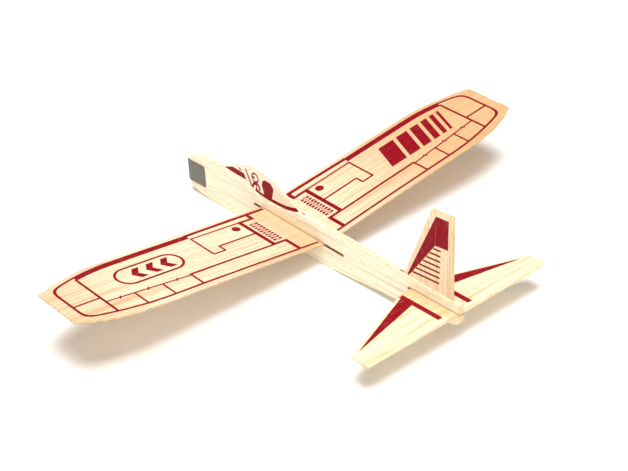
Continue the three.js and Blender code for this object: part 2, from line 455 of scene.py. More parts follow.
@dataclass(frozen=True)
class Balsa:
    """Sawn balsa, from its broad tone to its pores, with a place for print.

    tan is the tone that darker mixes in, used as painted shade and painted shadow, and streaks says how
    strong its figure is. The figure changes flattened times slower along z, so that it stays long on a sheet
    that is bent up from flat.
    """

    name: str
    grain: Grain
    pale: Colour = (0.90, 0.81, 0.62)
    tan: Colour = (0.72, 0.42, 0.19)
    streak: Colour = (0.70, 0.43, 0.18)
    pore: Colour = (0.42, 0.22, 0.08)
    streaks: float = 0.85
    flattened: float = 1.0
    seed: float = 0.0
    sway: float = 1.2
    shine: float = 0.06
    printed: Optional[Faces] = None
    ink: Ink = Ink()

    def _figure(self, graph: Graph, place: Value, layer: Figure) -> Value:
        """Draws one layer of figure.

        Args:
            graph: The material's graph.
            place: The place on the piece, in millimetres.
            layer: The layer.

        Returns:
            The noise.
        """
        scale = [1 / layer.across, 1 / layer.across, 1 / layer.across / self.flattened]
        scale[self.grain.value] = 1 / layer.along
        # unequal rates, so that no two layers or pieces share a pattern
        shift = (self.seed + layer.shift, 2.7 * self.seed - layer.shift, layer.shift * 1.3)
        moved = graph.vector("ADD", place, shift)
        return graph.noise(graph.vector("MULTIPLY", moved, tuple(scale)), layer.detail, layer.roughness)

    def material(
        self, stencil: Optional[Pattern] = None, darker: Optional[Pattern] = None
    ) -> bpy.types.Material:
        """Makes the material.

        Args:
            stencil: Gives the depth inside the printed shapes at a place.
            darker: Gives the share of the tan tone at a place, which paints shade and shadow.

        Returns:
            The material.
        """
        graph = Surface(self.name)
        place = graph.place()
        at = Place(graph, *graph.split(place))
        # the rays sway the grain a little, so nothing in it is ruled
        sway = self._figure(graph, place, RAYS)
        swayed = graph.vector("ADD", place, graph.scaled(graph.join(sway, sway, sway), self.sway))
        layers = (BROAD, LINES, FINE, VESSELS)
        broad, line, fine, vessel = (self._figure(graph, swayed, layer) for layer in layers)
        fleck = self._figure(graph, place, FLECKS)

        # the tone: drawn lines first, over broad bands, with fine lines and flecks either way
        tone = line.step(0.47, 0.66) * 0.85 + broad.step(0.42, 0.66) * 0.30 + (fine - 0.5) * 1.1
        tone = (tone + (fleck - 0.5) * 0.2) * self.streaks
        pores = vessel.step(0.64, 0.72)
        pale = self.pale
        # darker paints shade and shadow: it mixes the tan into the pale tone
        if darker is not None:
            pale = graph.mix_colours(darker(at), self.pale, self.tan)
        colour = graph.mix_colours(tone.most(0.0).least(1.0), pale, self.streak)
        colour = graph.mix_colours(pores * 0.5, colour, self.pore)

        # cut edges: end grain is darker and speckled, and rims are a little worn
        facing = graph.split(graph.node("ShaderNodeTexCoord", None, None, "Normal"))
        end_grain = abs(facing[self.grain.value]).step(0.45, 0.85)
        ends = graph.noise(graph.scaled(place, 2.6), 3.0, 0.7)
        worn = graph.rim().step(0.25, 1.0) * (0.16 + fleck.step(0.42, 0.72) * 0.42)
        colour = graph.mix_colours(worn.most(end_grain * (0.25 + ends * 0.5)), colour, self.streak)
        colour = graph.mix_colours(end_grain * ends.step(0.55, 0.72) * 0.55, colour, self.pore)

        roughness = 0.66 + fine * 0.22
        relief = line * 0.30 + fine * 0.45 - pores * 0.35 + end_grain * ends * 1.2
        if stencil is not None:
            side = facing[2] if self.printed is Faces.TOP else abs(facing[1])
            cover = self.ink.coverage(graph, stencil(at), place, pores.most(fine.step(0.70, 0.78) * 0.5))
            cover = cover * side.step(0.4, 0.7)
            ink = graph.mix_colours(fleck.step(0.40, 0.78) * 0.45, self.ink.colour, self.ink.dry_colour)
            colour = graph.mix_colours(cover, colour, ink)
            roughness = roughness + (self.ink.roughness - 0.75) * cover
            relief = relief * (1.0 - cover * 0.35)
        inputs = {"Base Color": colour, "Roughness": roughness, "Specular IOR Level": self.shine}
        return graph.finish(inputs, relief, strength=0.55, depth=0.09)


@dataclass(frozen=True)
class ClipMetal:
    """Dull grey tinplate, rolled and handled, darker where its edges were sheared."""

    name: str = "clip_metal"
    colour: Colour = (0.165, 0.155, 0.135)
    dull: Colour = (0.095, 0.09, 0.08)
    roughness: float = 0.40
    metallic: float = 0.75

    def material(self) -> bpy.types.Material:
        """Makes the material.

        Returns:
            The material.
        """
        graph = Surface(self.name)
        place = graph.place()
        rolled = graph.noise(graph.vector("MULTIPLY", place, (4.5, 4.5, 0.16)), 3.0)
        cloud = graph.noise(graph.scaled(place, 0.33), 3.0)
        scratch = graph.noise(graph.vector("MULTIPLY", place, (0.35, 0.35, 7.0)), 1.0).step(0.66, 0.72)
        tone = cloud.step(0.35, 0.7) * 0.55 + (rolled - 0.5) * 0.5 + graph.rim() * 0.35
        inputs = {
            "Base Color": graph.mix_colours(tone.most(0.0).least(1.0), self.colour, self.dull),
            "Metallic": self.metallic,
            "Roughness": self.roughness + (cloud - 0.5) * 0.25 + scratch * 0.08,
        }
        relief = rolled * 0.5 + cloud * 0.8 - scratch * 0.5
        return graph.finish(inputs, relief, strength=0.35, depth=0.05)


# ---------------------------------------- cut shapes
class Outline:
    """A closed outline, drawn from point to point."""

    def __init__(self, u: float, v: float) -> None:
        """Starts the outline at a point."""
        self.points: list[Point] = [(u, v)]

    def line(self, u: float, v: float) -> "Outline":
        """Draws a straight line to a point."""
        self.points.append((u, v))
        return self

    def curve(self, controls: Sequence[Point], end: Point, steps: int = 12) -> "Outline":
        """Draws a curve with one or two control points.

        Args:
            controls: The control points.
            end: Where the curve ends.
            steps: How many straight pieces it has.

        Returns:
            The outline.
        """
        knots = [np.array(p, float) for p in (self.points[-1], *controls, end)]
        for step in range(1, steps + 1):
            level = list(knots)
            share = step / steps
            while len(level) > 1:
                level = [a + (b - a) * share for a, b in zip(level, level[1:])]
            self.points.append((float(level[0][0]), float(level[0][1])))
        return self

    def arc(self, centre: Point, radius: float, start: float, end: float, steps: int = 8) -> "Outline":
        """Draws an arc.

        Args:
            centre: Its centre.
            radius: Its radius.
            start: The angle where it starts, in degrees.
            end: The angle where it ends.
            steps: How many straight pieces it has.

        Returns:
            The outline.
        """
        for angle in np.radians(np.linspace(start, end, steps + 1)):
            self.points.append((centre[0] + radius * math.cos(angle), centre[1] + radius * math.sin(angle)))
        return self

    def sampled(self, pitch: float) -> np.ndarray:
        """The outline's points, no further apart than a pitch.

        Args:
            pitch: The greatest distance between points.

        Returns:
            An array of points, anticlockwise.
        """
        corners = [np.array(p) for p in self.points]
        kept = [c for i, c in enumerate(corners) if np.linalg.norm(c - corners[i - 1]) > 1e-6]
        out: list[np.ndarray] = []
        for a, b in zip(kept, kept[1:] + kept[:1]):
            parts = max(1, math.ceil(float(np.linalg.norm(b - a)) / pitch))
            out += [a + (b - a) * i / parts for i in range(parts)]
        loop = np.array(out)
        following = np.roll(loop, -1, axis=0)
        area = float(np.sum(loop[:, 0] * following[:, 1] - following[:, 0] * loop[:, 1]))
        return loop if area > 0 else loop[::-1]


def inside(points: np.ndarray, loops: Sequence[np.ndarray]) -> np.ndarray:
    """Finds the points that lie inside an outline and outside its holes.

    Args:
        points: The points, a row for each.
        loops: The outline and then its holes.

    Returns:
        True or false for each point.
    """
    odd = np.zeros(len(points), bool)
    for loop in loops:
        for a, b in zip(loop, np.roll(loop, -1, axis=0)):
            crosses = (a[1] > points[:, 1]) != (b[1] > points[:, 1])
            if crosses.any():
                at = a[0] + (points[:, 1] - a[1]) * (b[0] - a[0]) / (b[1] - a[1])
                odd ^= crosses & (points[:, 0] < at)
    return odd


def depth_inside(points: np.ndarray, loops: Sequence[np.ndarray]) -> np.ndarray:
    """Measures how far each point is from the nearest edge.

    Args:
        points: The points, a row for each.
        loops: The outline and then its holes.

    Returns:
        A distance for each point.
    """
    nearest = np.full(len(points), 1e9)
    for loop in loops:
        for a, b in zip(loop, np.roll(loop, -1, axis=0)):
            along = b - a
            share = np.clip(((points - a) @ along) / max(float(along @ along), 1e-12), 0, 1)
            nearest = np.minimum(nearest, np.linalg.norm(points - a - share[:, None] * along, axis=1))
    return nearest


def ripple(u: float, v: float, w: float, size: float, seed: float) -> float:
    """Smooth repeatable noise between -1 and 1, with features of a size."""
    return noise.noise(Vector((u / size + seed, v / size - seed, w / size + 0.37 * seed)))


@dataclass
class CutPlate:
    """A plate die-cut from stock: flat faces, pressed rims and walls that are a little ragged.

    The plate lies in its own u, v plane with its thickness along w. Its edges are cut into steps of pitch
    and its field into cells of spacing. The faces sink by pressed over the last of the rims, which are
    distances from the cut. The cut wanders by rag, and by end_rag where it crosses the grain.
    """

    outline: Outline
    thickness: float = 1.0
    holes: list[Outline] = field(default_factory=list)
    pitch: float = 0.8
    spacing: float = 3.5
    rims: tuple[float, ...] = (0.12, 0.35, 0.8)
    pressed: float = 0.13
    rag: float = 0.07
    end_rag: float = 0.16
    grain: Optional[Point] = (1.0, 0.0)
    wall_rows: int = 3
    seed: float = 1.0
    rag_at: Optional[Callable[[float, float], float]] = None

    def _ragged(self, loop: np.ndarray, sign: float) -> tuple[np.ndarray, np.ndarray]:
        """Roughens a loop and finds which way is out of the plate.

        Args:
            loop: The loop's points.
            sign: 1 for the outline and -1 for a hole.

        Returns:
            The roughened points and the outward normals.
        """
        along = np.roll(loop, -1, axis=0) - np.roll(loop, 1, axis=0)
        along /= np.maximum(np.linalg.norm(along, axis=1, keepdims=True), 1e-9)
        out = sign * np.stack([along[:, 1], -along[:, 0]], axis=1)
        moved = loop.copy()
        for i, (u, v) in enumerate(loop):
            moved[i] += out[i] * self._roughness(u, v, 0.0, out[i])
        return moved, out

    def _roughness(self, u: float, v: float, w: float, out: np.ndarray) -> float:
        """Finds how far the cut wanders outwards at a point of its wall.

        Args:
            u: First plane coordinate.
            v: Second plane coordinate.
            w: Height over the plate's middle.
            out: The way out of the plate.

        Returns:
            The distance.
        """
        across = abs(out[0] * self.grain[0] + out[1] * self.grain[1]) if self.grain else 0.0
        amount = self.rag + (self.end_rag - self.rag) * across**3
        if self.rag_at is not None:
            amount = max(amount, self.rag_at(u, v))
        coarse = ripple(u, v, w, 2.2, self.seed)
        return amount * (0.9 * coarse + 0.8 * ripple(u, v, w, 0.7, self.seed + 5.0))

    def _inner_points(self, loops: Sequence[np.ndarray], outs: Sequence[np.ndarray]) -> np.ndarray:
        """Spreads points over the plate's face: rows that follow the edges, and a field between them.

        Args:
            loops: The outline and then the holes.
            outs: Their outward normals.

        Returns:
            The points.
        """
        rows = []
        for depth in self.rims:
            row = np.concatenate([loop - out * depth for loop, out in zip(loops, outs)])
            row = row[inside(row, loops)]
            rows.append(row[depth_inside(row, loops) > 0.93 * depth])
        low, high = loops[0].min(axis=0), loops[0].max(axis=0)
        grid = np.stack(
            np.meshgrid(
                np.arange(low[0] + self.spacing / 2, high[0], self.spacing),
                np.arange(low[1] + self.spacing / 2, high[1], self.spacing),
            ),
            axis=-1,
        ).reshape(-1, 2)
        grid = grid[inside(grid, loops)]
        rows.append(grid[depth_inside(grid, loops) > self.rims[-1] + 0.35 * self.spacing])
        return np.concatenate(rows)

    def mesh(self, name: str, place: Optional[Placing] = None) -> bpy.types.Mesh:
        """Makes the plate as a closed mesh.

        Args:
            name: The mesh's name.
            place: Puts a point of the plate in space; by default it stays where it is.

        Returns:
            The mesh, with attributes "rim" (1 at the cut), "lip" (a point of the cut) and "outward".
        """
        pairs = [self._ragged(self.outline.sampled(self.pitch), 1.0)]
        pairs += [self._ragged(hole.sampled(self.pitch), -1.0) for hole in self.holes]
        loops, outs = [p[0] for p in pairs], [p[1] for p in pairs]
        inner = self._inner_points(loops, outs)
        border = np.concatenate(loops)
        constraints: list[tuple[int, int]] = []
        start = 0
        for loop in loops:
            count = len(loop)
            constraints += [(start + i, start + (i + 1) % count) for i in range(count)]
            start += count
        every = [Vector(p) for p in np.concatenate([border, inner])]
        flat, _, faces, origins, _, _ = geometry.delaunay_2d_cdt(every, constraints, [], 0, 1e-6)
        at = np.array([tuple(p) for p in flat])
        centres = np.array([at[list(f)].mean(axis=0) for f in faces])
        kept = [f for f, ok in zip(faces, inside(centres, loops)) if ok]
        depths = depth_inside(at, loops)
        rim = np.clip(1 - depths / self.rims[-1], 0, 1)
        half = self.thickness / 2 - self.pressed * rim * rim * (3 - 2 * rim)

        builder = PlateBuilder(self, place)
        top = [builder.point(u, v, h, r) for (u, v), h, r in zip(at, half, rim)]
        bottom = [builder.point(u, v, -h, r) for (u, v), h, r in zip(at, half, rim)]
        for face in kept:
            a, b, c = (at[i] for i in face)
            turned = (b[0] - a[0]) * (c[1] - a[1]) - (b[1] - a[1]) * (c[0] - a[0]) < 0
            ordered = list(face)[::-1] if turned else list(face)
            builder.faces.append([top[i] for i in ordered])
            builder.faces.append([bottom[i] for i in ordered[::-1]])
        found = {origin: i for i, given in enumerate(origins) for origin in given}
        start = 0
        for loop, out, sign in zip(loops, outs, [1.0] + [-1.0] * len(self.holes)):
            ring = [found[start + i] for i in range(len(loop))]
            builder.wall(loop, out, [top[i] for i in ring], [bottom[i] for i in ring], sign)
            start += len(loop)
        return builder.finish(name)


class PlateBuilder:
    """Collects the points and faces of one plate."""

    def __init__(self, plate: CutPlate, place: Optional[Placing]) -> None:
        """Starts with nothing.

        Args:
            plate: The plate that is built.
            place: Puts a point of the plate in space.
        """
        self.plate = plate
        self.place = place or (lambda u, v, w: Vector((u, v, w)))
        self.points: list[Vector] = []
        self.rims: list[float] = []
        self.lips: list[bool] = []
        self.outwards: list[Vector] = []
        self.faces: list[list[int]] = []

    def point(self, u: float, v: float, w: float, rim: float, out: Optional[np.ndarray] = None) -> int:
        """Adds a point.

        Args:
            u: First plane coordinate.
            v: Second plane coordinate.
            w: Height over the plate's middle.
            rim: 1 at the cut, 0 away from it.
            out: The way out of the plate, for a point of the cut.

        Returns:
            The point's number.
        """
        here = self.place(u, v, w)
        self.points.append(here * MM)
        self.rims.append(rim)
        self.lips.append(out is not None)
        outward = Vector() if out is None else self.place(u + out[0], v + out[1], w) - here
        self.outwards.append(outward)
        return len(self.points) - 1

    def wall(
        self, loop: np.ndarray, out: np.ndarray, top: list[int], bottom: list[int], sign: float
    ) -> None:
        """Closes the cut between the two faces.

        Args:
            loop: The cut's points.
            out: The outward normals.
            top: The upper face's points along the cut.
            bottom: The lower face's.
            sign: 1 for the outline and -1 for a hole.
        """
        plate = self.plate
        reach = plate.thickness / 2 - plate.pressed
        rows = [bottom]
        for row in range(1, plate.wall_rows):
            share = row / plate.wall_rows
            w = reach * (2 * share - 1)
            bulge = 0.35 * plate.pressed * math.sin(math.pi * share)
            made = []
            for (u, v), normal in zip(loop, out):
                shift = bulge + plate._roughness(u, v, w, normal) - plate._roughness(u, v, 0.0, normal)
                made.append(self.point(u + normal[0] * shift, v + normal[1] * shift, w, 1.0, normal))
            rows.append(made)
        rows.append(top)
        count = len(loop)
        for low, high in zip(rows, rows[1:]):
            for i in range(count):
                j = (i + 1) % count
                quad = [low[i], low[j], high[j], high[i]]
                self.faces.append(quad if sign > 0 else quad[::-1])

    def finish(self, name: str) -> bpy.types.Mesh:
        """Turns what was collected into a mesh.

        Args:
            name: The mesh's name.

        Returns:
            The mesh.
        """
        mesh = bpy.data.meshes.new(name)
        mesh.from_pydata(self.points, [], self.faces)
        mesh.attributes.new("rim", "FLOAT", "POINT").data.foreach_set("value", self.rims)
        mesh.attributes.new("lip", "BOOLEAN", "POINT").data.foreach_set("value", self.lips)
        flat = [c for outward in self.outwards for c in outward]
        mesh.attributes.new("outward", "FLOAT_VECTOR", "POINT").data.foreach_set("vector", flat)
        mesh.validate()
        mesh.update()
        return mesh


# ---------------------------------------- geometry nodes
@dataclass(frozen=True)
class BendRule:
    """How a flat sheet is bent into a V: round over a strip at the middle, then nearly straight."""

    slope: float = 0.0
    half_width: float = 1.0
    droop: float = 0.0
    half_span: float = 100.0


@dataclass(frozen=True)
class Pose:
    """Where a sheet is set: turns in degrees, then a move in millimetres."""

    turn: Point3 = (0.0, 0.0, 0.0)
    move: Point3 = (0.0, 0.0, 0.0)


UPRIGHT = Pose(turn=(90.0, 0.0, 0.0))


@dataclass(frozen=True)
class Fray:
    """Whiskers of torn wood left along a cut."""

    share: float = 0.10
    length: float = 0.9
    thickness: float = 0.07
    grain: Point3 = (1.0, 0.0, 0.0)
    seed: int = 1


class SheetTree:
    """The Geometry Nodes that bend a cut sheet by rule, set it in place and fray its edges."""

    INPUTS = {
        "Geometry": ("Geometry",),
        "Float": (
            "Bend slope",
            "Bend half width",
            "Tip droop",
            "Half span",
            "Fray share",
            "Fray length",
            "Fray thickness",
        ),
        "Vector": ("Turn", "Move", "Grain"),
        "Int": ("Seed",),
        "Material": ("Material",),
    }
    # a whisker lies along the grain and leans out; the shortest is this share of the longest
    OUTWARD_LEAN, JITTER, SHORTEST = 0.45, 0.22, 0.35

    def __init__(self) -> None:
        """Builds the tree."""
        self.tree = bpy.data.node_groups.new("cut_sheet", "GeometryNodeTree")
        self.graph = Graph(self.tree)
        self.sockets: dict[str, bpy.types.NodeTreeInterfaceSocket] = {}
        face = self.tree.interface
        for kind, names in self.INPUTS.items():
            for name in names:
                self.sockets[name] = face.new_socket(name, in_out="INPUT", socket_type=f"NodeSocket{kind}")
        face.new_socket("Geometry", in_out="OUTPUT", socket_type="NodeSocketGeometry")
        self._build()

    def _build(self) -> None:
        """Lays out the nodes."""
        graph = self.graph
        given = graph.node("NodeGroupInput")
        sheet = self._bent(given)
        turn = {"Geometry": sheet, "Translation": given.output("Move"), "Rotation": given.output("Turn")}
        placed = graph.node("GeometryNodeTransform", None, turn)
        whiskers = self._whiskers(given, placed)
        joined = graph.node("GeometryNodeJoinGeometry", None, {0: whiskers})
        self.tree.links.new(placed.socket, joined.socket.node.inputs[0])
        whole = graph.node("GeometryNodeRealizeInstances", None, {0: joined})
        finish = given.output("Material")
        dressed = graph.node("GeometryNodeSetMaterial", None, {0: whole, "Material": finish})
        graph.node("NodeGroupOutput", None, {0: dressed})

    def _bent(self, given: Value) -> Value:
        """Raises each point of the sheet by the bend rule.

        Args:
            given: The group's inputs.

        Returns:
            The bent sheet.
        """
        graph = self.graph
        slope, width = given.output("Bend slope"), given.output("Bend half width")
        droop, span = given.output("Tip droop"), given.output("Half span")
        _, y, _ = graph.split(graph.node("GeometryNodeInputPosition"))
        distance = abs(y)
        rounded = slope * distance * distance / (width * 2.0)
        outboard = (distance - width) / (span - width)
        straight = slope * (distance - width * 0.5) - droop * outboard * outboard
        near = distance < width
        rise = rounded * near + straight * (1.0 - near)
        inputs = {"Geometry": given.output("Geometry"), "Offset": graph.join(0.0, 0.0, rise)}
        return graph.node("GeometryNodeSetPosition", None, inputs)

    def _whiskers(self, given: Value, sheet: Value) -> Value:
        """Stands thin slivers on some of the points of the cut.

        Args:
            given: The group's inputs.
            sheet: The sheet in place.

        Returns:
            The slivers, as instances.
        """
        graph = self.graph
        seed = given.output("Seed")
        thick = given.output("Fray thickness")
        cone = {
            "Vertices": 4,
            "Side Segments": 2,
            "Fill Segments": 1,
            "Radius Top": thick * 0.25,
            "Radius Bottom": thick,
            "Depth": given.output("Fray length"),
        }
        sliver = graph.node("GeometryNodeMeshCone", None, cone)
        lip = graph.node("GeometryNodeInputNamedAttribute", {"data_type": "BOOLEAN"}, {"Name": "lip"})
        chance = self._random("FLOAT", seed, 0.0, 1.0)
        picked = (chance < given.output("Fray share")) * lip
        vectors = {"data_type": "FLOAT_VECTOR"}
        out = graph.node("GeometryNodeInputNamedAttribute", vectors, {"Name": "outward"})
        turned = {0: out, "Rotation": given.output("Turn")}
        out = graph.node("ShaderNodeVectorRotate", {"rotation_type": "EULER_XYZ"}, turned)
        side = self._random("FLOAT", seed + 1.0, -1.0, 1.0)
        side = (side > 0.0) * 2.0 - 1.0
        along = graph.scaled(given.output("Grain"), side)
        jitter = self._random("FLOAT_VECTOR", seed + 2.0, (-self.JITTER,) * 3, (self.JITTER,) * 3)
        lean = graph.vector("ADD", graph.vector("ADD", along, graph.scaled(out, self.OUTWARD_LEAN)), jitter)
        size = self._random("FLOAT", seed + 3.0, self.SHORTEST, 1.0)
        girth = 0.6 + size * 0.4
        inputs = {
            "Points": sheet,
            "Selection": picked,
            "Instance": sliver,
            "Rotation": graph.node("FunctionNodeAlignRotationToVector", {"axis": "Z"}, {"Vector": lean}),
            "Scale": graph.join(girth, girth, size),
        }
        return graph.node("GeometryNodeInstanceOnPoints", None, inputs)

    def _random(self, kind: str, seed: Number, low: object, high: object) -> Value:
        """A random value for each point.

        Args:
            kind: "FLOAT" or "FLOAT_VECTOR".
            seed: The seed.
            low: The least value.
            high: The greatest value.

        Returns:
            The value.
        """
        made = self.graph.node("FunctionNodeRandomValue", {"data_type": kind})
        node = made.socket.node
        places = [i for i, s in enumerate(node.inputs) if s.enabled]
        node.inputs[places[0]].default_value = low
        node.inputs[places[1]].default_value = high
        self.tree.links.new(seed.socket, node.inputs["Seed"])
        return Value(self.graph, next(s for s in node.outputs if s.enabled))

    def apply(
        self,
        plate: CutPlate,
        name: str,
        finish: bpy.types.Material,
        fray: Fray,
        pose: Pose = UPRIGHT,
        bend: BendRule = BendRule(),
    ) -> bpy.types.Object:
        """Runs the tree on a plate and keeps the result as a plain mesh.

        Args:
            plate: The flat plate.
            name: The finished piece's name.
            finish: Its material.
            fray: Its whiskers.
            pose: Where it is set.
            bend: How it is bent.

        Returns:
            The finished piece.
        """
        draft = link(name + "_draft", plate.mesh(name + "_draft"))
        modifier = draft.modifiers.new("sheet", "NODES")
        modifier.node_group = self.tree
        values = {
            "Bend slope": bend.slope,
            "Bend half width": bend.half_width * MM,
            "Tip droop": bend.droop * MM,
            "Half span": bend.half_span * MM,
            "Fray share": fray.share,
            "Fray length": fray.length * MM,
            "Fray thickness": fray.thickness * MM,
            "Turn": [math.radians(a) for a in pose.turn],
            "Move": [m * MM for m in pose.move],
            "Grain": list(fray.grain),
            "Seed": fray.seed,
            "Material": finish,
        }
        for label, value in values.items():
            modifier[self.sockets[label].identifier] = value
        plain = evaluated_mesh(draft)
        bpy.data.objects.remove(draft)
        return show(plain, name, finish)


def link(name: str, data: bpy.types.ID) -> bpy.types.Object:
    """Puts a new object in the scene.

    Args:
        name: Its name.
        data: Its mesh, camera or light.

    Returns:
        The object.
    """
    made = bpy.data.objects.new(name, data)
    bpy.context.scene.collection.objects.link(made)
    return made


def evaluated_mesh(piece: bpy.types.Object) -> bpy.types.Mesh:
    """Makes a plain mesh of a piece as its modifiers leave it.

    Args:
        piece: The piece.

    Returns:
        The mesh.
    """
    bpy.context.view_layer.update()
    evaluated = piece.evaluated_get(bpy.context.evaluated_depsgraph_get())
    return bpy.data.meshes.new_from_object(evaluated)


def show(mesh: bpy.types.Mesh, name: str, finish: bpy.types.Material) -> bpy.types.Object:
    """Puts a mesh in the scene as a finished piece, smooth over its shallow edges.

    Args:
        mesh: The mesh, already in its place.
        name: The piece's name.
        finish: Its material.

    Returns:
        The object.
    """
    mesh.name = name
    for polygon in mesh.polygons:
        polygon.use_smooth = True
    mesh.set_sharp_from_angle(angle=math.radians(SHARP_ANGLE))
    mesh.materials.clear()
    mesh.materials.append(finish)
    return link(name, mesh)


def settle(piece: bpy.types.Object, node: str, body: str) -> None:
    """Lets a piece stand for a CAD node and ride on its body.

    Args:
        piece: The finished piece.
        node: The CAD node that it replaces.
        body: The body that it rides on.
    """
    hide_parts(node)
    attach(piece, body)
    count = len(piece.data.loop_triangles) or sum(len(p.vertices) - 2 for p in piece.data.polygons)
    LOG.info("%s: %d triangles on body %s", piece.name, count, body)


@cache
def box_mm(node: str) -> tuple[Vector, Vector]:
    """A CAD node's lowest and highest corners, in millimetres."""
    low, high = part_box(node)
    return low / MM, high / MM


# ---------------------------------------- fuselage
@dataclass
class Fuselage:
    """The slotted stick."""

    tree: SheetTree
    keel: tuple[float, float] = (-13.0, 80.0)
    nose_top: float = 21.4
    nose_bottom: float = 4.8
    top_front: float = 86.0
    sill_rear: Point = (12.0, 23.6)
    sill_front: Point = (56.0, 24.3)
    sill_lowest: Point = (32.0, 20.4)
    tail_top: float = 20.8
    tail_bottom: float = 9.9
    tail_taper: float = 7.2
    tail_turn: float = 9.0
    tail_slot: tuple[float, float, float] = (-72.6, 14.64, 15.76)
    wing_slot: tuple[float, float] = (-24.0, 48.6)
    wing_slot_height: float = 1.22
    wing_slot_middle: Point = (14.5, 13.63)
    incidence: float = 1.54
    canopy_slot: tuple[float, float, float] = (7.6, 80.3, 16.6)
    fin_slot: tuple[float, float, float] = (-102.8, -64.4, 17.0)
    slot_width: float = 1.12
    snapped_rag: float = 0.5
    snapped_reach: float = 0.4

    def outline(self) -> Outline:
        """Draws the stick as it is seen from the side.

        Returns:
            The outline, with x along the stick and z as its height.
        """
        low, high = box_mm("fuselage")
        tail, nose, top = low.x, high.x, high.z
        front, under, over = self.tail_slot
        edge = Outline(self.keel[1], 0.0).line(self.keel[0], 0.0).line(tail + self.tail_turn, self.tail_taper)
        edge.curve([(tail + self.tail_turn / 3, self.tail_taper + 0.6)], (tail, self.tail_bottom))
        edge.line(tail, under - 0.5).curve([(tail, under)], (tail + 0.5, under), 4)
        edge.line(front, under).line(front, over).line(tail + 0.5, over)
        edge.curve([(tail, over)], (tail, over + 0.5), 4)
        edge.line(tail, self.tail_top - 1.5).curve([(tail, self.tail_top)], (tail + 1.5, self.tail_top), 6)
        rear, lowest, fore = self.sill_rear, self.sill_lowest, self.sill_front
        edge.line(*rear)
        edge.curve([(rear[0] + 7, lowest[1] + 0.4), (lowest[0] - 7, lowest[1])], lowest, 20)
        edge.curve([(lowest[0] + 10, lowest[1]), (fore[0] - 8, lowest[1] + 1)], fore, 20)
        edge.line(self.top_front, top)
        edge.curve([(nose - 4, top)], (nose, self.nose_top))
        edge.line(nose, self.nose_bottom)
        edge.curve([(nose - 3, self.nose_bottom / 10)], (self.keel[1], 0.0), 16)
        return edge

    def wing_opening(self) -> Outline:
        """Draws the slot that the wing slides in, tilted by the wing's incidence.

        Returns:
            The slot's outline.
        """
        middle = Vector(self.wing_slot_middle)
        lean = Matrix.Rotation(math.radians(self.incidence), 2)
        rear, front = (x - middle.x for x in self.wing_slot)
        radius = self.wing_slot_height / 2
        straight = Outline(rear + radius, -radius).line(front - radius, -radius)
        straight.arc((front - radius, 0.0), radius, -90, 90, 6)
        straight.line(rear + radius, radius).arc((rear + radius, 0.0), radius, 90, 270, 6)
        straight.points = [tuple(middle + lean @ Vector(p)) for p in straight.points]
        return straight

    def tail_roughness(self, x: float, z: float) -> float:
        """The stick was snapped from its sheet at the tail, so its end is lumpy."""
        low, _ = box_mm("fuselage")
        return self.snapped_rag if x < low.x + self.snapped_reach else 0.0

    def painted_slot_shade(self, at: Place) -> Value:
        """Finds a band along the two cross slots, through the stick's thickness, where shade in the slot
        joints is painted.

        Args:
            at: A place on the stick.

        Returns:
            One on the slot walls and zero away from them.
        """
        rear, front = self.wing_slot
        middle, height = self.wing_slot_middle
        above = abs(at.z - height - (at.x - middle) * math.tan(math.radians(self.incidence)))
        along = (at.x - rear).least(front - at.x).step(-0.5, 0.1)
        tail_front, under, over = self.tail_slot
        tail = abs(at.z - (under + over) / 2).step(0.95, 0.7) * (tail_front + 0.3 - at.x).step(-0.3, 0.1)
        return (above.step(0.95, 0.68) * along).most(tail)

    def build(self) -> bpy.types.Object:
        """Makes the stick and cuts its top slots.

        Returns:
            The finished piece.
        """
        low, high = box_mm("fuselage")
        plate = CutPlate(
            outline=self.outline(), holes=[self.wing_opening()], thickness=high.y - low.y, pitch=0.7,
            spacing=4.0, rims=(0.15, 0.4, 0.9), pressed=0.22, rag=0.05, end_rag=0.12, wall_rows=9,
            seed=3.1, rag_at=self.tail_roughness,
        )
        # the near-black tan serves only the painted shade in the slot joints
        wood = Balsa(
            name="balsa_stick", grain=Grain.LENGTH, pale=(0.96, 0.90, 0.72), tan=(0.17, 0.085, 0.035),
            streaks=0.62, seed=4.0,
        )
        finish = wood.material(darker=self.painted_slot_shade)
        fray = Fray(share=0.035, length=1.0, grain=(1.0, 0.0, 0.0), seed=11)
        stick = self.tree.apply(plate, "stick", finish, fray)
        for span in (self.canopy_slot, self.fin_slot):
            self.cut(stick, span)
        return stick

    def cut(self, stick: bpy.types.Object, span: tuple[float, float, float]) -> None:
        """Cuts a slot down into the stick's top edge.

        Args:
            stick: The stick.
            span: The slot's rear and front ends and its floor.
        """
        rear, front, floor = span
        tall = 20.0
        cutter = bmesh.new()
        bmesh.ops.create_cube(cutter, size=1.0)
        size = Vector((front - rear, self.slot_width, tall)) * MM
        middle = Vector(((front + rear) / 2, 0.0, floor + tall / 2)) * MM
        cutter.transform(Matrix.Translation(middle) @ Matrix.Diagonal(size.to_4d()))
        mesh = bpy.data.meshes.new("slot_cutter")
        cutter.to_mesh(mesh)
        cutter.free()
        tool = link("slot_cutter", mesh)
        modifier = stick.modifiers.new("slot", "BOOLEAN")
        modifier.operation = "DIFFERENCE"
        modifier.solver = "EXACT"
        modifier.object = tool
        plain = evaluated_mesh(stick)
        stick.modifiers.clear()
        stick.data = plain
        bpy.data.objects.remove(tool)


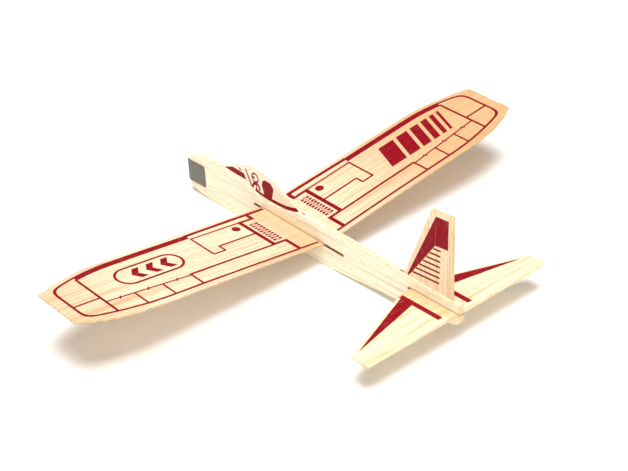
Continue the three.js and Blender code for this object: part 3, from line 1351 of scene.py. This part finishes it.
# ---------------------------------------- wing
@dataclass
class WingPrint:
    """The panel lines and devices printed on top of the wing.

    The first coordinate is x along the chord and the second is the distance from the centre line.
    """

    leading: float = 39.0
    leading_turn: float = 106.0
    leading_sweep: float = 0.0048
    root_flare: float = 0.024
    trailing: float = -5.4
    trailing_turn: float = 98.0
    trailing_sweep: float = 0.0033
    tip: float = 145.3
    corner: float = 8.0
    start: float = 3.0
    line: float = 1.50
    bolder: float = 0.35
    thin: float = 1.25
    band: float = 3.2
    band_start: float = 57.0
    rib: float = 129.3
    tick_pitch: float = 1.1
    bars: tuple[float, ...] = (11.5, 8.6, 6.4, 4.6, 3.2, 2.0)
    bar_gap: float = 2.4
    bar_slant: float = 7.0

    def border(self, x: Value, span: Value) -> Value:
        """The border line, a little bolder ahead of the root, and the broad leading band.

        Args:
            x: The place along the chord.
            span: The distance from the centre line.

        Returns:
            The depth inside both.
        """
        swept = (span - self.leading_turn).most(0.0)
        flare = (self.band_start - span).most(0.0) * self.root_flare
        lead = self.leading - swept * swept * self.leading_sweep + flare
        aft = (span - self.trailing_turn).most(0.0)
        trail = aft * aft * self.trailing_sweep + self.trailing
        bounded = (lead - x).blended_least(self.tip - span, self.corner).blended_least(x - trail, self.corner)
        bolder = (x > 20.0) * (span < self.band_start + 1.0) * self.bolder
        border = (self.line / 2 + bolder - abs(bounded)).least(span - self.start)
        band = (lead + 0.45 - x).least(x - lead + self.band).least(span - self.band_start)
        return border.most(band.least(self.rib - span))

    def ribs(self, stencil: Stencil) -> Value:
        """Draws the aileron and flap lines along the rear of the wing.

        Args:
            stencil: The face's stencil.

        Returns:
            The depth.
        """
        thin, line = self.thin, self.line
        return union(
            stencil.box(-2.6, 34.4, self.rib - line / 2, self.rib + line / 2),
            stencil.box(12.9 - thin / 2, 12.9 + thin / 2, self.rib, self.tip),
            stencil.bar((4.8, 80.0), (8.4, self.rib), 1.0),
            stencil.bar((4.2, 88.8), (6.6, 87.2), 0.9),
            stencil.bar((5.4, 105.8), (7.8, 104.2), 0.9),
            stencil.bar((6.6, 121.8), (9.0, 120.2), 0.9),
            stencil.box(-5.3, 5.9, 78.7, 80.0),
            stencil.box(-5.2, 6.0, 96.1, 97.3),
            stencil.box(-4.7, 7.2, 112.4, 113.6),
            stencil.box(5.6 - line / 2, 5.6 + line / 2, 24.0, 79.8),
        )

    def root(self, stencil: Stencil) -> Value:
        """Draws the stepped box and the access panel near the root.

        Args:
            stencil: The face's stencil.

        Returns:
            The depth.
        """
        thin = self.thin
        return union(
            stencil.box(5.4, 35.1, 22.6, 25.2),
            stencil.box(33.8, 35.6, 14.2, 25.2),
            stencil.box(34.2, 39.9, 14.0, 16.4),
            stencil.box(5.0, 6.9, 14.6, 25.0),
            stencil.box(-5.6, 6.7, 14.6, 17.0),
            stencil.box(34.3, 35.4, 25.0, 57.0),
            stencil.box(15.2, 35.4, 56.7 - thin / 2, 56.7 + thin / 2),
            stencil.box(15.2 - thin / 2, 15.2 + thin / 2, 48.8, 57.0),
            stencil.box(15.2, 20.8, 49.1 - thin / 2, 49.1 + thin / 2),
            stencil.box(20.5 - thin / 2, 20.5 + thin / 2, 24.5, 49.4),
            stencil.disc((30.1, 30.0), 2.5),
        )

    def trim_scale(self, stencil: Stencil) -> Value:
        """Draws a plain scale of ticks beside the slot, for setting the wing fore and aft.

        Args:
            stencil: The face's stencil.

        Returns:
            The depth.
        """
        near = stencil.box(8.0, 31.0, 15.6, 21.4)
        ticks = ((stencil.u - 8.4).folded(self.tick_pitch) - 0.33).least(near)
        spine = stencil.box(7.8, 31.2, 18.25, 18.75)
        clear = abs(stencil.v - 18.5) - 0.75
        return ticks.least(clear).most(spine)

    def badge(self, stencil: Stencil, port: Value) -> Value:
        """Draws a plain rounded frame with three chevrons.

        Args:
            stencil: The face's stencil.
            port: Positive on the port side, the only one that has the badge.

        Returns:
            The depth.
        """
        middle, centre, reach, radius = 93.0, 22.0, 12.2, 7.6
        wide, high, swept = 4.2, 4.9, 3.2
        from_end = (abs(stencil.v - middle) - reach).most(0.0)
        across = stencil.u - centre
        frame = 0.75 - abs((from_end * from_end + across * across) ** 0.5 - radius)
        chevrons = []
        for tip in (85.9, 94.9, 103.9):
            for side in (centre + high, centre - high):
                notch = tip - wide
                arm = (centre, tip), (centre, notch), (side, notch - swept), (side, tip - swept)
                chevrons.append(stencil.convex(*arm))
        return union(frame, *chevrons).least(port)

    def stripes(self, stencil: Stencil, starboard: Value) -> Value:
        """Draws slanted bars of falling width.

        Args:
            stencil: The face's stencil.
            starboard: Positive on the starboard side, the only one that has the bars.

        Returns:
            The depth.
        """
        rear, front, start, slant = 12.0, 31.0, 69.0, self.bar_slant
        drawn = []
        for width in self.bars:
            end = start + width
            corners = (rear, start), (rear, end), (front, end + slant), (front, start + slant)
            drawn.append(stencil.convex(*corners))
            start += width + self.bar_gap
        return union(*drawn).least(starboard)

    def depth(self, at: Place) -> Value:
        """Draws all the printed shapes.

        Args:
            at: A place on the wing.

        Returns:
            The depth.
        """
        stencil = Stencil(at.graph, at.x, abs(at.y))
        return union(
            self.border(stencil.u, stencil.v),
            self.ribs(stencil),
            self.root(stencil),
            self.trim_scale(stencil),
            self.badge(stencil, at.y),
            self.stripes(stencil, 0.0 - at.y),
        )


@dataclass
class Wing:
    """The one-piece wing: a flat sheet bent to a shallow V."""

    tree: SheetTree
    leading: float = 42.6
    trailing: float = -8.8
    tip_leading: float = 33.5
    tip_trailing: float = 1.6
    straight_leading: float = 106.0
    straight_trailing: float = 110.0
    turn_leading: float = 128.0
    turn_trailing: float = 136.0
    root: Point = (14.5, 13.6)
    incidence: float = 1.54
    dihedral: float = 7.9
    bend_half_width: float = 5.0
    droop: float = 1.7
    decoration: WingPrint = field(default_factory=WingPrint)

    def outline(self) -> Outline:
        """Draws the flat sheet's plan about the middle of its root.

        Returns:
            The outline, with x along the chord and y along the span.
        """
        half_span = box_mm("wing")[1].y
        lead, trail = self.leading - self.root[0], self.trailing - self.root[0]
        tip_lead, tip_trail = self.tip_leading - self.root[0], self.tip_trailing - self.root[0]
        edge = Outline(trail, -self.straight_trailing).line(trail, self.straight_trailing)
        edge.curve([(trail, self.turn_trailing)], (tip_trail, half_span), 20)
        edge.line(tip_lead, half_span)
        edge.curve([(lead, self.turn_leading)], (lead, self.straight_leading), 20)
        edge.line(lead, -self.straight_leading)
        edge.curve([(lead, -self.turn_leading)], (tip_lead, -half_span), 20)
        edge.line(tip_trail, -half_span)
        edge.curve([(trail, -self.turn_trailing)], (trail, -self.straight_trailing), 20)
        return edge

    @staticmethod
    def darker(at: Place) -> Value:
        """How much tan is mixed in: a painted shadow of the stick beside the slot to port, painted shade out
        to starboard, and darker towards the port tip.
        """
        # painted shadow of the stick and canopy over the port root
        beside = at.y.step(-3.0, 1.0) * (1.0 - at.y.step(9.0, 21.0)) * 0.62
        # painted shade that deepens out to starboard, and a darker port tip
        return beside + (0.0 - at.y).step(5.0, 115.0) * 0.85 + at.y.step(105.0, 150.0) * 0.35

    def build(self) -> bpy.types.Object:
        """Cuts the sheet, bends it and prints it.

        Returns:
            The finished piece.
        """
        plate = CutPlate(
            outline=self.outline(), pitch=0.9, spacing=2.5, grain=(0.0, 1.0), rag=0.09, end_rag=0.55,
            seed=7.3,
        )
        # tan is the colour of the painted shadow at the port root and the painted shade to starboard
        wood = Balsa(
            name="balsa_wing", grain=Grain.SPAN, pale=(0.88, 0.71, 0.51), tan=(0.64, 0.40, 0.19),
            streak=(0.60, 0.35, 0.16), flattened=14.0, seed=9.0, printed=Faces.TOP,
        )
        finish = wood.material(self.decoration.depth, self.darker)
        bend = BendRule(
            slope=math.tan(math.radians(self.dihedral)), half_width=self.bend_half_width,
            droop=self.droop, half_span=box_mm("wing")[1].y,
        )
        pose = Pose(turn=(0.0, -self.incidence, 0.0), move=(self.root[0], 0.0, self.root[1]))
        fray = Fray(share=0.10, length=1.1, grain=(0.0, 1.0, 0.0), seed=21)
        return self.tree.apply(plate, "wing_sheet", finish, fray, pose, bend)


# ---------------------------------------- tail
@dataclass
class Stabilizer:
    """The flat tailplane in the open slot."""

    tree: SheetTree
    root_half_width: float = 9.0
    leading: float = -74.1
    tip_leading: float = -95.1
    height: float = 15.2
    corner: float = 1.1

    def outline(self) -> Outline:
        """Draws the tailplane's plan.

        Returns:
            The outline, with x along the chord and y along the span.
        """
        low, high = box_mm("stabilizer")
        rear, half = low.x, high.y
        corner = self.corner
        edge = Outline(self.leading, -self.root_half_width).line(self.leading, self.root_half_width)
        edge.line(self.tip_leading + 0.4 * corner, half - corner)
        edge.curve([(self.tip_leading, half)], (self.tip_leading - corner, half), 5)
        edge.line(rear + corner, half).curve([(rear, half)], (rear, half - corner), 5)
        edge.line(rear, corner - half).curve([(rear, -half)], (rear + corner, -half), 5)
        edge.line(self.tip_leading - corner, -half)
        edge.curve([(self.tip_leading, -half)], (self.tip_leading + 0.4 * corner, corner - half), 5)
        return edge

    @staticmethod
    def depth(at: Place) -> Value:
        """The depth inside the printed sweep on each half."""
        stencil = Stencil(at.graph, at.x, abs(at.y))
        return union(
            stencil.box(-103.6, -75.8, 8.9, 12.0),
            stencil.convex((-75.8, 8.9), (-94.6, 56.3), (-94.9, 56.3), (-85.3, 12.0), (-83.0, 8.9)),
        )

    @staticmethod
    def darker(at: Place) -> Value:
        """How much tan is mixed in: a painted shadow of the stick beside the slot on the port side."""
        return at.y.step(-1.0, 2.0) * (1.0 - at.y.step(6.0, 13.0)) * 0.55

    def build(self) -> bpy.types.Object:
        """Cuts the sheet and prints it.

        Returns:
            The finished piece.
        """
        plate = CutPlate(
            outline=self.outline(), pitch=0.7, grain=(0.0, 1.0), rag=0.14, end_rag=0.45, seed=12.9
        )
        wood = Balsa(
            name="balsa_stabilizer", grain=Grain.SPAN, pale=(0.90, 0.80, 0.58), seed=17.0, streaks=0.95,
            printed=Faces.TOP,
        )
        pose = Pose(move=(0.0, 0.0, self.height))
        fray = Fray(share=0.12, length=1.2, grain=(0.0, 1.0, 0.0), seed=31)
        # the tan paints the stick's shadow beside the slot to port
        finish = wood.material(self.depth, self.darker)
        return self.tree.apply(plate, "stabilizer_sheet", finish, fray, pose)


@dataclass
class Fin:
    """The swept fin in the rear top slot."""

    tree: SheetTree
    foot: float = 17.2
    root: tuple[float, float] = (-102.2, -67.6)
    root_height: float = 21.0
    tip: tuple[float, float] = (-103.4, -88.2)
    tip_height: tuple[float, float] = (69.2, 68.1)
    tip_corner: float = 1.3

    def outline(self) -> Outline:
        """Draws the fin as it is seen from the side.

        Returns:
            The outline, with x along the stick and z as its height.
        """
        rear, front = self.root
        tip_rear, tip_front = self.tip
        corner, high = self.tip_corner, self.tip_height[1]
        edge = Outline(front, self.foot).line(front, self.root_height)
        edge.line(tip_front + corner / 3, high - corner)
        edge.curve([(tip_front, high)], (tip_front - corner, high), 5)
        edge.line(tip_rear + 0.8, self.tip_height[0] - 0.05)
        edge.curve([(tip_rear, self.tip_height[0])], (tip_rear, self.tip_height[0] - 0.8), 4)
        edge.line(rear, self.root_height).line(rear, self.foot)
        return edge

    @staticmethod
    def depth(at: Place) -> Value:
        """Draws the printed block and the stripes under it.

        Args:
            at: A place on the fin.

        Returns:
            The depth.
        """
        stencil = Stencil(at.graph, at.x, at.z)
        block = union(
            stencil.convex((-71.2, 21.7), (-70.7, 22.5), (-91.0, 64.6), (-90.3, 47.6), (-74.0, 25.0)),
            stencil.convex((-91.0, 64.6), (-99.7, 65.2), (-99.1, 48.5), (-90.3, 47.6)),
        )
        stripes = []
        rows, width = 7, 1.1
        for row in range(rows):
            share = row / (rows - 1)
            start = (-89.0 + 14.7 * share, 45.4 - 20.1 * share)
            end = (-94.1 + 1.1 * share, 45.9 - 19.3 * share)
            stripes.append(stencil.bar(start, end, width))
        return union(block, *stripes)

    def build(self) -> bpy.types.Object:
        """Cuts the sheet and prints it.

        Returns:
            The finished piece.
        """
        plate = CutPlate(
            outline=self.outline(), pitch=0.6, grain=(0.0, 1.0), rag=0.06, end_rag=0.2, seed=15.7
        )
        wood = Balsa(
            name="balsa_fin", grain=Grain.HEIGHT, pale=(0.90, 0.77, 0.56), seed=25.0, streaks=0.7,
            printed=Faces.SIDES,
        )
        fray = Fray(share=0.08, length=0.9, grain=(0.0, 0.0, 1.0), seed=41)
        finish = wood.material(self.depth)
        return self.tree.apply(plate, "fin_sheet", finish, fray)


# ---------------------------------------- canopy
@dataclass
class Canopy:
    """The canopy sheet, with a cockpit printed on it."""

    tree: SheetTree
    foot: float = 16.8
    rear_height: float = 23.4
    front_height: float = 25.2
    shoulders: tuple[float, float] = (35.7, 56.1)
    shoulder_height: float = 34.9
    crown: float = 1.75

    def outline(self) -> Outline:
        """Draws the canopy as it is seen from the side.

        Returns:
            The outline, with x along the stick and z as its height.
        """
        low, high = box_mm("canopy")
        rear, front = low.x, high.x
        aft, fore = self.shoulders
        crown = self.shoulder_height + self.crown
        edge = Outline(rear, self.foot).line(rear, self.rear_height)
        top = self.shoulder_height
        edge.curve([(rear + 7, self.rear_height + 3.2), (aft - 10, crown - 5)], (aft, top), 18)
        edge.curve([(aft + 5, crown), (fore - 7, crown)], (fore, top), 14)
        nose = self.front_height
        edge.curve([(fore + 8, crown - 3.6), (front - 7, nose + 4)], (front, nose), 18)
        edge.line(front, self.foot)
        return edge

    @staticmethod
    def cockpit(stencil: Stencil) -> Value:
        """Draws the coaming, windscreen, seat and sill.

        Args:
            stencil: The face's stencil.

        Returns:
            The depth.
        """
        back = (42.8, 28.0), (42.0, 30.8), (39.9, 32.2), (35.1, 32.0), (36.0, 21.8), (41.0, 21.6)
        seat = union(
            stencil.convex(*back),
            stencil.convex((35.1, 32.0), (32.8, 29.3), (34.8, 21.8), (37.0, 21.8)),
        )
        front = (48.5, 22.9), (44.5, 21.6), (38.5, 21.4)
        sill = [*front, (29.5, 21.4), (22.5, 21.8), (17.5, 23.0), (13.0, 24.3)]
        return union(
            stencil.convex((75.2, 26.9), (67.5, 29.9), (57.9, 29.5), (56.2, 26.1), (64.5, 26.1)),
            stencil.bar((59.4, 30.6), (62.6, 31.6), 0.6),
            stencil.bar((61.6, 30.0), (61.2, 31.2), 0.6),
            stencil.bar((56.2, 33.2), (51.6, 23.7), 1.1),
            stencil.path(sill, 2.5),
            seat,
        )

    @staticmethod
    def pilot(stencil: Stencil) -> Value:
        """Draws a plain helmet with a visor, over a collar and shoulders.

        Args:
            stencil: The face's stencil.

        Returns:
            The depth.
        """
        helmet = stencil.ring((48.3, 30.4), 2.6, 1.0)
        visor = stencil.box(48.6, 51.2, 29.6, 31.0)
        collar = stencil.bar((46.2, 27.5), (49.8, 27.0), 1.0)
        shoulders = stencil.path([(44.6, 23.6), (45.4, 26.2), (47.6, 27.2), (50.0, 25.8), (51.2, 23.2)], 1.5)
        harness = stencil.bar((47.9, 26.8), (47.2, 22.9), 0.9)
        return union(helmet, visor, collar, shoulders, harness)

    def depth(self, at: Place) -> Value:
        """The depth inside all the printed shapes."""
        stencil = Stencil(at.graph, at.x, at.z)
        return union(self.cockpit(stencil), self.pilot(stencil))

    def build(self) -> bpy.types.Object:
        """Cuts the sheet and prints it.

        Returns:
            The finished piece.
        """
        plate = CutPlate(outline=self.outline(), pitch=0.6, rag=0.05, end_rag=0.15, seed=19.1)
        wood = Balsa(
            name="balsa_canopy", grain=Grain.LENGTH, pale=(0.97, 0.91, 0.76), seed=33.0, streaks=0.35,
            printed=Faces.SIDES,
        )
        fray = Fray(share=0.05, length=0.7, grain=(1.0, 0.0, 0.0), seed=51)
        finish = wood.material(self.depth)
        return self.tree.apply(plate, "canopy_sheet", finish, fray)


# ---------------------------------------- nose clip
@dataclass
class NoseClip:
    """The ballast: a strip of thin metal folded round the nose."""

    wall: float = 0.4
    bend_radius: float = 0.7
    low_corner: float = 0.8
    high_corner: float = 1.6
    dent: float = 0.07
    dent_spread: float = 6.0

    def outline(self, half: float, low: float, high: float) -> Outline:
        """The strip laid flat, with its corners clipped round.

        Args:
            half: Half the strip's length.
            low: Its lower edge.
            high: Its upper edge.

        Returns:
            The outline.
        """
        a, b = self.low_corner, self.high_corner
        edge = Outline(a - half, low).line(half - a, low).arc((half - a, low + a), a, -90, 0, 5)
        edge.line(half, high - b).arc((half - b, high - b), b, 0, 90, 6)
        edge.line(b - half, high).arc((b - half, high - b), b, 90, 180, 6)
        edge.line(-half, low + a).arc((a - half, low + a), a, 180, 270, 5)
        return edge

    def build(self) -> bpy.types.Object:
        """Cuts the strip and folds it.

        Returns:
            The finished piece.
        """
        low, high = box_mm("nose_clip")
        radius = self.bend_radius
        side = high.y - self.wall / 2
        front = high.x - self.wall / 2
        flat = side - radius
        bend = math.pi / 2 * radius
        leg = front - radius - low.x

        def fold(s: float, z: float, w: float) -> Vector:
            """Puts a point of the flat strip on the folded one.

            Args:
                s: Place along the strip, from its middle.
                z: Height.
                w: Height over the strip's middle surface.

            Returns:
                The place.
            """
            run, way = abs(s), math.copysign(1.0, s)
            out = w + self.dent * ripple(s, z, 0.0, self.dent_spread, 2.0)
            if run < flat:
                return Vector((front + out, run * way, z))
            if run < flat + bend:
                angle = (run - flat) / radius
                reach = radius + out
                x = front - radius + reach * math.cos(angle)
                return Vector((x, (flat + reach * math.sin(angle)) * way, z))
            return Vector((front - radius - (run - flat - bend), (side + out) * way, z))

        plate = CutPlate(
            outline=self.outline(flat + bend + leg, low.z, high.z), thickness=self.wall, pitch=0.4,
            spacing=0.9, rims=(0.08, 0.2, 0.4), pressed=0.07, rag=0.02, end_rag=0.02, grain=None,
            seed=23.0,
        )
        mesh = plate.mesh("clip_strip", fold)
        for name in ("lip", "outward"):
            mesh.attributes.remove(mesh.attributes[name])
        return show(mesh, "clip_strip", ClipMetal().material())


# ---------------------------------------- studio
@dataclass
class Studio:
    """A plain white floor, large soft lights, and the camera.

    The eye and the floor's half width are in millimetres, and the camera's right and forward ways need not be
    quite square to each other.
    """

    eye: Point3 = (-564.1, 476.1, 474.4)
    right: Point3 = (-0.66505, -0.74541, -0.04586)
    forward: Point3 = (0.64908, -0.54649, -0.52925)
    lens: float = 93.3
    sensor: float = 36.0
    nearest: float = 0.01
    farthest: float = 60.0
    floor_half: float = 12000.0
    floor_gap: float = 0.1
    floor_tooth: float = 900.0
    floor_colours: tuple[Colour, Colour] = ((0.94, 0.94, 0.94), (0.97, 0.97, 0.97))
    sky_high: Colour = (0.20, 0.18, 0.155)
    sky_low: Colour = (1.0, 0.90, 0.76)
    sky_strength: float = 1.25

    def camera(self) -> None:
        """Sets the camera."""
        data = bpy.data.cameras.new("camera")
        data.lens = self.lens
        data.sensor_width = self.sensor
        data.clip_start, data.clip_end = self.nearest, self.farthest
        ahead = Vector(self.forward).normalized()
        across = Vector(self.right)
        across = (across - ahead * across.dot(ahead)).normalized()
        up = across.cross(ahead)
        turn = Matrix((across, up, -ahead)).transposed().to_4x4()
        made = link("camera", data)
        made.matrix_world = Matrix.Translation(Vector(self.eye) * MM) @ turn
        bpy.context.scene.camera = made

    def floor(self) -> None:
        """Lays the floor just under the keel."""
        reach = self.floor_half * MM
        mesh = bpy.data.meshes.new("floor")
        corners = [(-reach, -reach), (reach, -reach), (reach, reach), (-reach, reach)]
        mesh.from_pydata([(x, y, -self.floor_gap * MM) for x, y in corners], [], [(0, 1, 2, 3)])
        graph = Surface("white_paper")
        tooth = graph.noise(graph.place(self.floor_tooth))
        colour = graph.mix_colours(tooth.step(0.3, 0.7), *self.floor_colours)
        inputs = {"Base Color": colour, "Roughness": 0.9, "Specular IOR Level": 0.1}
        mesh.materials.append(graph.finish(inputs, tooth, strength=0.08, depth=0.1))
        made = link("floor", mesh)

    def lamp(self, name: str, place: Point3, aim: Point3, size: float, power: float, colour: Colour) -> None:
        """Hangs a square soft light.

        Args:
            name: Its name.
            place: Where it hangs, in metres.
            aim: What it faces.
            size: The length of its side.
            power: Its power in watts.
            colour: Its colour.
        """
        data = bpy.data.lights.new(name, "AREA")
        data.shape = "SQUARE"
        data.size = size
        data.energy = power
        data.color = colour
        made = link(name, data)
        made.location = place
        made.rotation_euler = (Vector(aim) - Vector(place)).to_track_quat("-Z", "Y").to_euler()

    def sky(self) -> None:
        """Surrounds the set with soft light, brightest in the sweep near the horizon."""
        world = bpy.data.worlds.new("studio")
        world.use_nodes = True
        graph = Graph(world.node_tree)
        _, _, height = graph.split(graph.node("ShaderNodeTexCoord", None, None, "Generated"))
        colour = graph.mix_colours(1.0 - height.step(0.14, 0.34), self.sky_high, self.sky_low)
        light = graph.node("ShaderNodeBackground", None, {"Color": colour, "Strength": self.sky_strength})
        graph.node("ShaderNodeOutputWorld", None, {"Surface": light})
        bpy.context.scene.world = world

    def build(self) -> None:
        """Sets up the whole studio."""
        bpy.context.scene.view_settings.view_transform = "Standard"
        self.camera()
        self.floor()
        self.sky()
        self.lamp("key", (-0.52, 0.30, 4.0), (0.0, 0.0, 0.0), 2.3, 198.0, (0.97, 0.985, 1.0))
        self.lamp("fill", (-2.4, 2.1, 1.9), (0.0, 0.0, 0.03), 2.8, 34.0, (0.98, 0.985, 1.0))


# ---------------------------------------- assembly
def main() -> None:
    """Builds the glider piece by piece inside the studio."""
    logging.basicConfig(level=logging.INFO, format="%(name)s: %(message)s")
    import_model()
    Studio().build()
    tree = SheetTree()
    settle(Fuselage(tree).build(), "fuselage", "airframe")
    settle(Wing(tree).build(), "wing", "wing")
    settle(Stabilizer(tree).build(), "stabilizer", "airframe")
    settle(Fin(tree).build(), "fin", "airframe")
    settle(Canopy(tree).build(), "canopy", "airframe")
    settle(NoseClip().build(), "nose_clip", "airframe")


if __name__ == "__main__":
    main()
